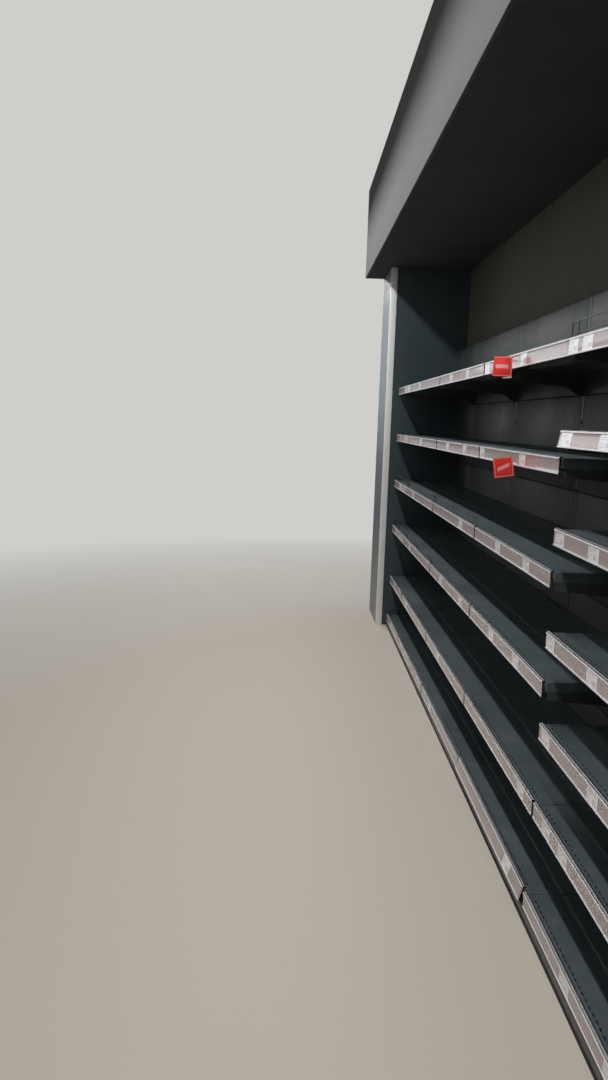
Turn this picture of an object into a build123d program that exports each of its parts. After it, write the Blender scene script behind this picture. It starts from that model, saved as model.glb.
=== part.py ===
"""Wall shelving bay of a supermarket: a back wall between two boxed columns, a boarded
bulkhead over it, and a run of slotted-upright steel shelving that stands in the alcove.

Millimetres, +Z up. The run lies along X, its front faces -Y, and the origin is on the
floor at the middle of the whole bay's length and depth.
"""

from build123d import *
from math import ceil
import os

# Building shell
ALCOVE_SIDE_GAP = 5.0
COLUMN_LENGTH = 500.0
COLUMN_DEPTH = 512.0
FACE_PANEL_THICKNESS = 45.0
FASCIA_OVERHANG = 140.0
WALL_THICKNESS = 150.0
SOFFIT_HEIGHT = 2550.0
TOTAL_HEIGHT = 3180.0
BOARD = 12.5

# Bulkhead framing, light steel sections
STUD_DEPTH = 75.0
STUD_FLANGE = 40.0
JOIST_DEPTH = 50.0
SECTION_WALL = 2.0
STUD_PITCH = 600.0
TIE_PITCH = 1200.0

# Wire fences that stop goods sliding off a shelf
WIRE = 4.0
WIRE_PITCH = 250.0
FENCE_INSET = 6.0
FENCE_LIFT = 10.0
LOW_FENCE = 40.0
HIGH_FENCE = 45.0

# Shelving: module widths and the heights of the upper shelves, on the slots' pitch
FULL_MODULE = 1000.0
SHORT_MODULE = 665.0
BASE_LEVEL = 88.0
BASE_REACH = 10.0
FEW_LEVELS = [375.0, 750.0, 1075.0, 1400.0, 1725.0]
MANY_LEVELS = [375.0, 625.0, 900.0, 1200.0, 1475.0, 1725.0]

# Bays from left to right: width, shelf heights, and each fence's shelf and height
BAYS = [
    (SHORT_MODULE, FEW_LEVELS, {750.0: LOW_FENCE, 1075.0: LOW_FENCE}),
    (FULL_MODULE, FEW_LEVELS, {750.0: LOW_FENCE, 1075.0: LOW_FENCE}),
    (FULL_MODULE, FEW_LEVELS, {1075.0: LOW_FENCE}),
    (FULL_MODULE, FEW_LEVELS, {}),
    (FULL_MODULE, MANY_LEVELS, {1725.0: HIGH_FENCE}),
    (FULL_MODULE, MANY_LEVELS, {1725.0: HIGH_FENCE}),
]

# Uprights and back panels
UPRIGHT_WIDTH = 30.0
UPRIGHT_DEPTH = 60.0
UPRIGHT_WALL = 2.0
UPRIGHT_HEIGHT = 2000.0
FOOT_PLATE = 5.0
SLOT_WIDTH = 14.0
SLOT_HEIGHT = 16.0
CAP_HEIGHT = 8.0
WALL_GAP = 10.0
TIE_HEIGHT = 60.0
TIE_DROP = 90.0
PANEL_ROWS = 5
PANEL_DEPTH = 14.0
PANEL_WALL = 1.5
PANEL_CHAMFER = 4.0
PANEL_GAP = 0.5

# Shelves, brackets and ticket rails
SHELF_DEPTH = 386.0
SHELF_FOLD = 30.0
SHELF_RETURN = 12.0
SHEET = 1.5
SHELF_END_GAP = 2.0
SHELF_BACK_GAP = 2.0
RIB_WIDTH = 60.0
RIB_DROP = 18.0
BRACKET_THICKNESS = 2.5
BRACKET_ROOT = 85.0
BRACKET_TIP = 24.0
BRACKET_SHOULDER = 70.0
BRACKET_HEEL = 18.0
BRACKET_WAIST = 51.0
BRACKET_SETBACK = 8.0
HOOK_DROP = 54.0
HOOK_SPACING = 50.0
HOOK_NECK = 9.0
HOOK_TOOTH = 4.0
HOOK_REACH = 6.0
HOOK_PLAY = 0.3
RAIL_HEIGHT = 50.0
RAIL_DEPTH = 12.0
RAIL_WALL = 2.0
RAIL_LIP = 5.0
RAIL_RISE = 4.0
COVER_THICKNESS = 1.0

# Base
FLOOR_GAP = 10.0
FOOT_WALL = 2.5
GLIDE_RADIUS = 20.0
GLIDE_THICKNESS = 6.0
GLIDE_STEM_RADIUS = 6.0
GLIDE_INSET = 45.0
KICK_SETBACK = 2.0
KICK_RETURN = 14.0

# Lengths that follow from the sizes above
RUN_LENGTH = sum(bay[0] for bay in BAYS) + UPRIGHT_WIDTH
ALCOVE_LENGTH = RUN_LENGTH + 2 * ALCOVE_SIDE_GAP
TOTAL_LENGTH = ALCOVE_LENGTH + 2 * COLUMN_LENGTH
TOTAL_DEPTH = FASCIA_OVERHANG + FACE_PANEL_THICKNESS + COLUMN_DEPTH + WALL_THICKNESS

# Planes across the depth, from the front to the back
FASCIA_FRONT = -TOTAL_DEPTH / 2
PANEL_FRONT = FASCIA_FRONT + FASCIA_OVERHANG
COLUMN_FRONT = PANEL_FRONT + FACE_PANEL_THICKNESS
WALL_FRONT = COLUMN_FRONT + COLUMN_DEPTH
WALL_BACK = WALL_FRONT + WALL_THICKNESS
UPRIGHT_BACK = WALL_FRONT - WALL_GAP
UPRIGHT_FRONT = UPRIGHT_BACK - UPRIGHT_DEPTH
SHELF_BACK = UPRIGHT_FRONT - SHELF_BACK_GAP
SHELF_FRONT = SHELF_BACK - SHELF_DEPTH
BASE_FRONT = SHELF_FRONT - BASE_REACH
KICK_FRONT = BASE_FRONT - RAIL_DEPTH + KICK_SETBACK
KICK_BACK = KICK_FRONT + KICK_RETURN

# Lines along the length
LEFT_END = -TOTAL_LENGTH / 2
RIGHT_END = TOTAL_LENGTH / 2
ALCOVE_LEFT = LEFT_END + COLUMN_LENGTH
ALCOVE_RIGHT = RIGHT_END - COLUMN_LENGTH
FIRST_AXIS = ALCOVE_LEFT + ALCOVE_SIDE_GAP + UPRIGHT_WIDTH / 2
BASE_SURFACE = BASE_LEVEL - RAIL_RISE
FOOT_TOP = BASE_SURFACE - SHELF_FOLD


def upright_axes():
    """X of each upright's centre line."""
    axes = [FIRST_AXIS]
    for width, levels, fences in BAYS:
        axes.append(axes[-1] + width)
    return axes


def slot_heights():
    """Lower edges of the slots in use on each upright, from the shelves on both its sides."""
    heights = [set() for axis in upright_axes()]
    for number, (width, levels, fences) in enumerate(BAYS):
        for level in levels:
            for drop in (HOOK_DROP, HOOK_DROP + HOOK_SPACING):
                heights[number].add(level - drop)
                heights[number + 1].add(level - drop)
    return [sorted(column) for column in heights]


def block(x0, x1, y0, y1, z0, z1):
    """A rectangular solid between two corners."""
    return Pos(x0, y0, z0) * Box(x1 - x0, y1 - y0, z1 - z0, align=(Align.MIN,) * 3)


def folded(outside, sheet):
    """Section of a bent sheet. The points run along its outer face, with the sheet on their right."""
    line = Polyline(*outside)
    return make_face(offset(line, amount=sheet, side=Side.RIGHT, kind=Kind.INTERSECTION))


def run_along_x(section, x0, x1):
    """A section drawn in Y and Z, carried from x0 to x1."""
    return extrude(Plane.YZ.offset(x0) * section, x1 - x0, dir=(1, 0, 0))


def run_along_y(section, y0, y1):
    """A section drawn in X and Z, carried from y0 to y1."""
    return extrude(Plane.XZ.offset(-y0) * section, y1 - y0, dir=(0, 1, 0))


def stand_up(section, z0, z1):
    """A section drawn in X and Y, carried from z0 to z1."""
    return extrude(Plane.XY.offset(z0) * section, z1 - z0, dir=(0, 0, 1))


def open_right(u0, u1, v0, v1):
    """Outer line of a channel that lies between two corners and opens towards u1."""
    return [(u1, v0), (u0, v0), (u0, v1), (u1, v1)]


def building_shell():
    """Back wall, the two columns and the pale panel on each column's aisle face."""
    left = block(LEFT_END, ALCOVE_LEFT, COLUMN_FRONT, WALL_FRONT, 0, TOTAL_HEIGHT)
    right = block(ALCOVE_RIGHT, RIGHT_END, COLUMN_FRONT, WALL_FRONT, 0, TOTAL_HEIGHT)
    left_face = block(LEFT_END, ALCOVE_LEFT, PANEL_FRONT, COLUMN_FRONT, 0, SOFFIT_HEIGHT)
    right_face = block(ALCOVE_RIGHT, RIGHT_END, PANEL_FRONT, COLUMN_FRONT, 0, SOFFIT_HEIGHT)
    return {
        "back_wall": [block(LEFT_END, RIGHT_END, WALL_FRONT, WALL_BACK, 0, TOTAL_HEIGHT)],
        "left_column": [left],
        "right_column": [right],
        "left_column_face_panel": [left_face],
        "right_column_face_panel": [right_face],
    }


def frame_lines(start, end, pitch):
    """Evenly spaced X positions for studs or joists, no further apart than the pitch."""
    room = end - start - STUD_FLANGE
    count = ceil(room / pitch)
    return [start + room * i / count for i in range(count + 1)]


def bulkhead():
    """Boards and light steel framing of the bulkhead over the alcove."""
    frame_left = LEFT_END + BOARD
    frame_right = RIGHT_END - BOARD
    stud_front = FASCIA_FRONT + BOARD
    stud_back = stud_front + STUD_DEPTH
    board_top = SOFFIT_HEIGHT + BOARD
    soffit = [
        (frame_left, stud_front),
        (frame_right, stud_front),
        (frame_right, COLUMN_FRONT),
        (ALCOVE_RIGHT, COLUMN_FRONT),
        (ALCOVE_RIGHT, WALL_FRONT),
        (ALCOVE_LEFT, WALL_FRONT),
        (ALCOVE_LEFT, COLUMN_FRONT),
        (frame_left, COLUMN_FRONT),
    ]
    low_track = [
        (stud_back, board_top + STUD_FLANGE),
        (stud_back, board_top),
        (stud_front, board_top),
        (stud_front, board_top + STUD_FLANGE),
    ]
    high_track = [
        (stud_front, TOTAL_HEIGHT - STUD_FLANGE),
        (stud_front, TOTAL_HEIGHT),
        (stud_back, TOTAL_HEIGHT),
        (stud_back, TOTAL_HEIGHT - STUD_FLANGE),
    ]
    stud_depth = (stud_front + SECTION_WALL, stud_back - SECTION_WALL)
    studs = []
    for x in frame_lines(frame_left, frame_right, STUD_PITCH):
        section = folded(open_right(x, x + STUD_FLANGE, *stud_depth), SECTION_WALL)
        studs.append(stand_up(section, board_top + SECTION_WALL, TOTAL_HEIGHT - SECTION_WALL))
    wall_tracks = []
    joists = []
    for level, pitch in ((board_top, STUD_PITCH), (TOTAL_HEIGHT - JOIST_DEPTH, TIE_PITCH)):
        track = [
            (WALL_FRONT - STUD_FLANGE, level + JOIST_DEPTH),
            (WALL_FRONT, level + JOIST_DEPTH),
            (WALL_FRONT, level),
            (WALL_FRONT - STUD_FLANGE, level),
        ]
        wall_tracks.append(run_along_x(folded(track, SECTION_WALL), ALCOVE_LEFT, ALCOVE_RIGHT))
        low = level + SECTION_WALL
        high = level + JOIST_DEPTH - SECTION_WALL
        row = []
        for x in frame_lines(ALCOVE_LEFT, ALCOVE_RIGHT, pitch):
            section = folded(open_right(x, x + STUD_FLANGE, low, high), SECTION_WALL)
            row.append(run_along_y(section, stud_back, WALL_FRONT - SECTION_WALL))
        joists.append(row)
    ends = [
        block(LEFT_END, frame_left, stud_front, COLUMN_FRONT, SOFFIT_HEIGHT, TOTAL_HEIGHT),
        block(frame_right, RIGHT_END, stud_front, COLUMN_FRONT, SOFFIT_HEIGHT, TOTAL_HEIGHT),
    ]
    fascia = block(LEFT_END, RIGHT_END, FASCIA_FRONT, stud_front, SOFFIT_HEIGHT, TOTAL_HEIGHT)
    return {
        "fascia_board": [fascia],
        "soffit_board": [stand_up(Polygon(*soffit, align=None), SOFFIT_HEIGHT, board_top)],
        "bulkhead_end_boards": ends,
        "fascia_tracks": [
            run_along_x(folded(low_track, SECTION_WALL), frame_left, frame_right),
            run_along_x(folded(high_track, SECTION_WALL), frame_left, frame_right),
        ],
        "fascia_studs": studs,
        "wall_tracks": wall_tracks,
        "soffit_joists": joists[0],
        "top_joists": joists[1],
    }


def upright(axis, slots):
    """A hollow rectangular post with a plate across its foot; its cap closes the top."""
    x0 = axis - UPRIGHT_WIDTH / 2
    x1 = axis + UPRIGHT_WIDTH / 2
    outer = block(x0, x1, UPRIGHT_FRONT, UPRIGHT_BACK, FLOOR_GAP, UPRIGHT_HEIGHT - CAP_HEIGHT)
    inner = block(
        x0 + UPRIGHT_WALL,
        x1 - UPRIGHT_WALL,
        UPRIGHT_FRONT + UPRIGHT_WALL,
        UPRIGHT_BACK - UPRIGHT_WALL,
        FLOOR_GAP + FOOT_PLATE,
        UPRIGHT_HEIGHT - CAP_HEIGHT,
    )
    half = SLOT_WIDTH / 2
    back = UPRIGHT_FRONT + UPRIGHT_WALL
    holes = [block(axis - half, axis + half, UPRIGHT_FRONT, back, z, z + SLOT_HEIGHT) for z in slots]
    return outer - inner - holes


def glide(x, y, top):
    """A levelling glide: an eight-sided disc with a six-sided stem."""
    disc = Pos(x, y, 0) * extrude(RegularPolygon(GLIDE_RADIUS, 8), GLIDE_THICKNESS)
    stem = extrude(RegularPolygon(GLIDE_STEM_RADIUS, 6), top - GLIDE_THICKNESS)
    return disc + Pos(x, y, GLIDE_THICKNESS) * stem


def frame_of_run():
    """Uprights with their caps, wall ties, base feet and levelling glides."""
    posts, caps, ties, feet, glides = [], [], [], [], []
    for axis, slots in zip(upright_axes(), slot_heights()):
        x0 = axis - UPRIGHT_WIDTH / 2
        x1 = axis + UPRIGHT_WIDTH / 2
        posts.append(upright(axis, slots))
        caps.append(
            block(x0, x1, UPRIGHT_FRONT, UPRIGHT_BACK, UPRIGHT_HEIGHT - CAP_HEIGHT, UPRIGHT_HEIGHT)
        )
        tie_top = UPRIGHT_HEIGHT - TIE_DROP
        ties.append(block(x0, x1, UPRIGHT_BACK, WALL_FRONT, tie_top - TIE_HEIGHT, tie_top))
        foot = [(x0, FLOOR_GAP), (x0, FOOT_TOP), (x1, FOOT_TOP), (x1, FLOOR_GAP)]
        feet.append(run_along_y(folded(foot, FOOT_WALL), KICK_BACK, UPRIGHT_FRONT))
        glides.append(glide(axis, UPRIGHT_BACK - UPRIGHT_DEPTH / 2, FLOOR_GAP))
        glides.append(glide(axis, KICK_BACK + GLIDE_INSET, FOOT_TOP - FOOT_WALL))
    return {
        "uprights": posts,
        "upright_caps": caps,
        "wall_ties": ties,
        "base_feet": feet,
        "levelling_glides": glides,
    }


def back_panel(x0, x1, z0, z1):
    """A pressed sheet pan with chamfered edges, open at the back."""
    front = UPRIGHT_FRONT
    outer = block(x0, x1, front, front + PANEL_DEPTH, z0, z1)
    outer = chamfer(outer.faces().sort_by(Axis.Y)[0].edges(), PANEL_CHAMFER)
    inner = block(
        x0 + PANEL_CHAMFER,
        x1 - PANEL_CHAMFER,
        front + PANEL_WALL,
        front + PANEL_DEPTH,
        z0 + PANEL_CHAMFER,
        z1 - PANEL_CHAMFER,
    )
    return outer - inner


def back_panels():
    """Rows of pressed panels between neighbouring uprights."""
    panels = []
    axes = upright_axes()
    row_height = (UPRIGHT_HEIGHT - BASE_SURFACE) / PANEL_ROWS
    for left, right in zip(axes, axes[1:]):
        for row in range(PANEL_ROWS):
            low = BASE_SURFACE + row * row_height
            panels.append(
                back_panel(
                    left + UPRIGHT_WIDTH / 2 + PANEL_GAP,
                    right - UPRIGHT_WIDTH / 2 - PANEL_GAP,
                    low + PANEL_GAP / 2,
                    low + row_height - PANEL_GAP / 2,
                )
            )
    return {"back_panels": panels}


def shelf(x0, x1, front, surface):
    """A folded steel tray: top sheet with returns front and back, ends, and a rib below."""
    low = surface - SHELF_FOLD
    tray = [
        (front + SHELF_RETURN, low),
        (front, low),
        (front, surface),
        (SHELF_BACK, surface),
        (SHELF_BACK, low),
        (SHELF_BACK - SHELF_RETURN, low),
    ]
    rib_back = (front + SHELF_BACK + RIB_WIDTH) / 2
    rib = [
        (rib_back, surface - SHEET),
        (rib_back, surface - RIB_DROP),
        (rib_back - RIB_WIDTH, surface - RIB_DROP),
        (rib_back - RIB_WIDTH, surface - SHEET),
    ]
    left_end = block(x0, x0 + SHEET, front, SHELF_BACK, low, surface)
    right_end = block(x1 - SHEET, x1, front, SHELF_BACK, low, surface)
    sheets = [run_along_x(folded(line, SHEET), x0, x1) for line in (tray, rib)]
    return sheets[0] + sheets[1] + left_end + right_end


def hook(seat):
    """Points of the hook near a bracket's top, from below: its tooth drops behind the slot's edge."""
    inside = UPRIGHT_FRONT + UPRIGHT_WALL + HOOK_PLAY
    return [
        (UPRIGHT_FRONT, seat),
        (inside, seat),
        (inside, seat - HOOK_REACH),
        (inside + HOOK_TOOTH, seat - HOOK_REACH),
        (inside + HOOK_TOOTH, seat + HOOK_NECK),
        (UPRIGHT_FRONT, seat + HOOK_NECK),
    ]


def lug(seat):
    """Points of the plain lug at a bracket's heel, which stops it turning in the lower slot."""
    inside = UPRIGHT_FRONT + UPRIGHT_WALL + HOOK_PLAY + HOOK_TOOTH
    return [
        (UPRIGHT_FRONT, seat),
        (inside, seat),
        (inside, seat + HOOK_NECK),
        (UPRIGHT_FRONT, seat + HOOK_NECK),
    ]


def bracket(x0, level):
    """A tapered cantilever plate under one end of a shelf, held in two of its upright's slots."""
    top = level - RAIL_RISE - SHELF_FOLD
    tip = SHELF_FRONT + BRACKET_SETBACK
    outline = [
        (UPRIGHT_FRONT, top),
        (tip, top),
        (tip, top - BRACKET_TIP),
        (UPRIGHT_FRONT - BRACKET_SHOULDER, top - BRACKET_WAIST),
        (UPRIGHT_FRONT - BRACKET_HEEL, top - BRACKET_ROOT),
        (UPRIGHT_FRONT, top - BRACKET_ROOT),
    ]
    outline += lug(level - HOOK_DROP - HOOK_SPACING) + hook(level - HOOK_DROP)
    return run_along_x(Polygon(*outline, align=None), x0, x0 + BRACKET_THICKNESS)


def ticket_rail(x0, x1, back, surface):
    """Extruded rail on a shelf's front edge, open to the front between its two lips."""
    front = back - RAIL_DEPTH
    high = surface + RAIL_RISE
    low = high - RAIL_HEIGHT
    line = [
        (front, high - RAIL_LIP),
        (front, high),
        (back, high),
        (back, low),
        (front, low),
        (front, low + RAIL_LIP),
    ]
    cover = block(
        x0,
        x1,
        front + COVER_THICKNESS / 2,
        front + COVER_THICKNESS * 1.5,
        low + RAIL_LIP,
        high - RAIL_LIP,
    )
    return run_along_x(folded(line, RAIL_WALL), x0, x1), cover


def kick_plate(x0, x1):
    """Folded plate that closes the base under the lowest ticket rail."""
    high = BASE_LEVEL - RAIL_HEIGHT
    line = [(KICK_BACK, FLOOR_GAP), (KICK_FRONT, FLOOR_GAP), (KICK_FRONT, high), (KICK_BACK, high)]
    return run_along_x(folded(line, SHEET), x0, x1)


def wire_fence(x0, x1, surface, height):
    """Two long wires joined by short posts, standing behind the ticket rail."""
    y0 = SHELF_FRONT + SHEET
    y1 = y0 + WIRE
    fence = block(x0, x1, y0, y1, surface + FENCE_LIFT, surface + FENCE_LIFT + WIRE)
    fence += block(x0, x1, y0, y1, surface + height - WIRE, surface + height)
    room = x1 - x0 - WIRE
    count = max(1, round(room / WIRE_PITCH))
    for i in range(count + 1):
        x = x0 + room * i / count
        fence += block(x, x + WIRE, y0, y1, surface, surface + height)
    return fence


def shelves_of_run():
    """Shelves, brackets and ticket rails of every bay, with kick plates and fences."""
    nodes = {"kick_plates": [], "ticket_covers": [], "wire_fences": []}
    axes = upright_axes()
    for number, (width, levels, fences) in enumerate(BAYS):
        x0 = axes[number] + SHELF_END_GAP / 2
        x1 = axes[number + 1] - SHELF_END_GAP / 2
        shelves, brackets, rails = [], [], []
        for level in [BASE_LEVEL] + levels:
            surface = level - RAIL_RISE
            front = BASE_FRONT if level == BASE_LEVEL else SHELF_FRONT
            shelves.append(shelf(x0, x1, front, surface))
            rail, cover = ticket_rail(x0, x1, front, surface)
            rails.append(rail)
            nodes["ticket_covers"].append(cover)
            if level != BASE_LEVEL:
                brackets.append(bracket(x0 + SHEET, level))
                brackets.append(bracket(x1 - SHEET - BRACKET_THICKNESS, level))
            if level in fences:
                fence = wire_fence(x0 + FENCE_INSET, x1 - FENCE_INSET, surface, fences[level])
                nodes["wire_fences"].append(fence)
        nodes["kick_plates"].append(kick_plate(x0, x1))
        name = f"bay_{number + 1}"
        nodes[name + "_shelves"] = shelves
        nodes[name + "_brackets"] = brackets
        nodes[name + "_ticket_rails"] = rails
    return nodes


def main():
    os.makedirs("parts", exist_ok=True)
    nodes = {}
    for group in (building_shell, bulkhead, frame_of_run, back_panels, shelves_of_run):
        nodes.update(group())
    for name, solids in nodes.items():
        export_step(Compound(children=[piece.solid() for piece in solids]), f"parts/{name}.step")


main()
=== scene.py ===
import bpy
import bmesh
import math
import random
from mathutils import Matrix, Vector


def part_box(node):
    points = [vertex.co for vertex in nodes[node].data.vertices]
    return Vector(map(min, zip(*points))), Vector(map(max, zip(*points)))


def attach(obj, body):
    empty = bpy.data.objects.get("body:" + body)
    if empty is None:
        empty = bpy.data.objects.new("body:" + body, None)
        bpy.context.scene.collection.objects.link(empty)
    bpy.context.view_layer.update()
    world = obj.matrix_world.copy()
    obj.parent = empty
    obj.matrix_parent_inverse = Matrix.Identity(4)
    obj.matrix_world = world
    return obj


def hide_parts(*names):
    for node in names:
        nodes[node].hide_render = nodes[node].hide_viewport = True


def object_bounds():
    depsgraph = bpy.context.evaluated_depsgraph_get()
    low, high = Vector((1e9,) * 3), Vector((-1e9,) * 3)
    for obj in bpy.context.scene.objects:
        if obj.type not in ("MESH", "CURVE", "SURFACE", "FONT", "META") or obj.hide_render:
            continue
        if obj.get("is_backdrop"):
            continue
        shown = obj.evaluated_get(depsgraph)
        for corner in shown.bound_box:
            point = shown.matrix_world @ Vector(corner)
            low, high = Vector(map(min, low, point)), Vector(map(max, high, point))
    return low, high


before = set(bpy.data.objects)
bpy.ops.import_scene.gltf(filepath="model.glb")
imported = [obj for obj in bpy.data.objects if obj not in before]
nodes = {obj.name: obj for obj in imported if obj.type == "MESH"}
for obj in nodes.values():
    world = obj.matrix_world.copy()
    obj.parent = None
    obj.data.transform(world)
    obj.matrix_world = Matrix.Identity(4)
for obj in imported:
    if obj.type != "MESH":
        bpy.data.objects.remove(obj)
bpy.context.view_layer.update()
print("frame loaded,", len(nodes), "nodes")

# The run of shelving, in metres: each bay's width and its shelf levels, the base shelf first
fewLevels = [0.088, 0.375, 0.75, 1.075, 1.4, 1.725]
manyLevels = [0.088, 0.375, 0.625, 0.9, 1.2, 1.475, 1.725]
bays = [
    {"width": 0.665, "levels": fewLevels},
    {"width": 1.0, "levels": fewLevels},
    {"width": 1.0, "levels": fewLevels},
    {"width": 1.0, "levels": fewLevels},
    {"width": 1.0, "levels": manyLevels},
    {"width": 1.0, "levels": manyLevels},
]
uprightLow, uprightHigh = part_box("uprights")
shelfLow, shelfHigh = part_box("bay_2_shelves")
railLow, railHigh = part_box("bay_2_ticket_rails")
kickLow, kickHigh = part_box("kick_plates")
uprightWidth = 0.03
endGap = 0.001  # from an upright's centre line to a shelf's end
baseReach = 0.01  # how much further out the base shelf stands than the others
baseLevel = bays[0]["levels"][0]
shelfFront = shelfLow.y + baseReach
railFront = railLow.y + baseReach
railRise = railHigh.z - shelfHigh.z

axes = [uprightLow.x + uprightWidth / 2]
for bay in bays:
    axes.append(axes[-1] + bay["width"])
widths = sorted({bay["width"] for bay in bays})


# Working with meshes

# how near, in metres, a place has to be to a wanted one, and how near two corners merge
nearby, merging = 0.0001, 0.00001


def deselect():
    bpy.ops.object.select_all(action="DESELECT")


def onlyThis(piece):
    deselect()
    piece.select_set(True)
    bpy.context.view_layer.objects.active = piece


def settle(name):
    piece = bpy.context.object
    piece.name = name
    piece.data.name = name
    bpy.ops.object.transform_apply(location=True, rotation=True, scale=True)
    return piece


def addBox(name, low, high):
    deselect()
    bpy.ops.mesh.primitive_cube_add(size=1, location=[(a + b) / 2 for a, b in zip(low, high)])
    bpy.context.object.scale = [b - a for a, b in zip(low, high)]
    return settle(name)


def addRound(name, radius, base, height, sides):
    deselect()
    middle = (base[0], base[1], base[2] + height / 2)
    bpy.ops.mesh.primitive_cylinder_add(vertices=sides, radius=radius, depth=height, location=middle)
    return settle(name)


def startEdit(piece):
    onlyThis(piece)
    bpy.ops.object.mode_set(mode="EDIT")


def endEdit():
    bpy.ops.object.mode_set(mode="OBJECT")


def pick(test, kind="FACE"):
    # selects, in edit mode, what passes a test of its middle and its normal, or an edge's own direction
    bpy.ops.mesh.select_mode(type=kind)
    bpy.ops.mesh.select_all(action="DESELECT")
    data = bpy.context.object.data
    mesh = bmesh.from_edit_mesh(data)
    mesh.normal_update()
    if kind == "FACE":
        found = [(face, face.calc_center_median(), face.normal) for face in mesh.faces]
    elif kind == "EDGE":
        found = [(edge, (edge.verts[0].co + edge.verts[1].co) / 2, edge.verts[1].co - edge.verts[0].co)
                 for edge in mesh.edges]
    else:
        found = [(corner, corner.co, corner.normal) for corner in mesh.verts]
    for part, at, way in found:
        if test(at, way):
            part.select_set(True)
    mesh.select_flush_mode()
    bmesh.update_edit_mesh(data)


def extrudeBy(x, y, z):
    bpy.ops.mesh.extrude_region_move(TRANSFORM_OT_translate={"value": (x, y, z)})


def applied(piece, kind, **settings):
    onlyThis(piece)
    modifier = piece.modifiers.new(kind.lower(), kind)
    for name, value in settings.items():
        setattr(modifier, name, value)
    bpy.ops.object.modifier_apply(modifier=modifier.name)
    return piece


def rounded(piece, width, segments=2, angle=30):
    return applied(piece, "BEVEL", width=width, segments=segments, limit_method="ANGLE",
                   angle_limit=math.radians(angle), use_clamp_overlap=True)


def walled(piece, thickness):
    return applied(piece, "SOLIDIFY", thickness=thickness, offset=-1, use_even_offset=True)


def tidied(piece, angle=35):
    startEdit(piece)
    bpy.ops.mesh.select_all(action="SELECT")
    bpy.ops.mesh.remove_doubles(threshold=merging)
    bpy.ops.mesh.normals_make_consistent(inside=False)
    endEdit()
    return smoothed(piece, angle)


def smoothed(piece, angle=35):
    onlyThis(piece)
    bpy.ops.object.shade_smooth_by_angle(angle=math.radians(angle))
    return piece


def copied(piece, x=0, y=0, z=0):
    twin = piece.copy()
    twin.data = piece.data.copy()
    bpy.context.scene.collection.objects.link(twin)
    twin.data.transform(Matrix.Translation((x, y, z)))
    return twin


def joined(name, parts):
    deselect()
    for part in parts:
        part.select_set(True)
    bpy.context.view_layer.objects.active = parts[0]
    if len(parts) > 1:
        bpy.ops.object.join()
    parts[0].name = name
    parts[0].data.name = name
    return parts[0]


def dropped(*pieces):
    for piece in pieces:
        bpy.data.objects.remove(piece)


def startWire(radius, at, alongX=False):
    # a filled ring that extrudeBy and turnBy carry along the wire's way
    deselect()
    bpy.ops.mesh.primitive_circle_add(vertices=8, radius=radius, fill_type="NGON", location=at,
                                      rotation=(0, math.pi / 2 if alongX else 0, 0))
    piece = settle("wire")
    startEdit(piece)
    bpy.ops.mesh.select_all(action="SELECT")
    return piece


def turnBy(degrees, centre, axis, steps=4):
    # spin turns against the right hand
    bpy.ops.mesh.spin(steps=steps, angle=-math.radians(degrees), center=centre, axis=axis)


def foldedSheet(name, x0, x1, line, sheet, bend, segments=2):
    # a sheet along X that is folded through points of (y, z), with its thickness on their right
    (y0, z0), (y1, z1) = line[0], line[1]
    length = math.hypot(y1 - y0, z1 - z0)
    deselect()
    bpy.ops.mesh.primitive_plane_add(size=1, location=((x0 + x1) / 2, (y0 + y1) / 2, (z0 + z1) / 2))
    start = bpy.context.object
    start.scale = (x1 - x0, length, 1)
    start.rotation_euler = (math.atan2(z1 - z0, y1 - y0), 0, 0)
    piece = settle(name)
    startEdit(piece)
    pick(lambda at, way: (at - Vector((at.x, y1, z1))).length < merging, "VERT")
    for (ya, za), (yb, zb) in zip(line[1:], line[2:]):
        extrudeBy(0, yb - ya, zb - za)
    endEdit()
    if bend:
        rounded(piece, bend, segments, 20)
    walled(piece, sheet)
    return smoothed(piece)


def bellied(y, low, rise, belly, steps):
    # points of (y, z) up a strip that stands proud by its belly halfway
    shares = [step / steps for step in range(steps + 1)]
    return [(y - belly * math.sin(math.pi * share), low + rise * share) for share in shares]


def mapped(piece, name, place):
    # gives a piece this one UV map, with each corner where place puts it
    layer = piece.data.uv_layers.new(name=name)
    piece.data.uv_layers.active = layer
    for loop in piece.data.loops:
        layer.data[loop.index].uv = place(piece.data.vertices[loop.vertex_index].co)
    for other in [other for other in piece.data.uv_layers.keys() if other != name]:
        piece.data.uv_layers.remove(piece.data.uv_layers[other])


# Materials. Patterns read Object coordinates, in metres, and rough is a roughness from 0 to 1

def srgb(red, green, blue):
    # a colour in a screen's 0 to 255, as the linear values that the nodes take
    def linear(part):
        part /= 255
        return part / 12.92 if part <= 0.04045 else ((part + 0.055) / 1.055) ** 2.4
    return (linear(red), linear(green), linear(blue), 1.0)


def shade(colour, factor):
    return tuple(min(1.0, part * factor) for part in colour[:3]) + (1.0,)


def node(tree, kind, inputs=None, **settings):
    made = tree.nodes.new("ShaderNode" + kind)
    for name, value in settings.items():
        setattr(made, name, value)
    for name, value in (inputs or {}).items():
        if isinstance(value, bpy.types.NodeSocket):
            tree.links.new(value, made.inputs[name])
        else:
            made.inputs[name].default_value = value
    return made


def newMaterial(name, **sockets):
    material = bpy.data.materials.new(name)
    material.use_nodes = True
    tree = material.node_tree
    shader = tree.nodes["Principled BSDF"]
    for socket, value in sockets.items():
        shader.inputs[socket.replace("_", " ")].default_value = value
    return material, tree, shader


def objectPoints(tree, scale=(1, 1, 1)):
    points = node(tree, "TexCoord").outputs["Object"]
    return node(tree, "Mapping", {"Vector": points, "Scale": scale}).outputs["Vector"]


def noise(tree, points, scale, detail=2.0, roughness=0.5):
    return node(tree, "TexNoise", {"Vector": points, "Scale": scale, "Detail": detail,
                                   "Roughness": roughness}).outputs["Fac"]


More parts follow.
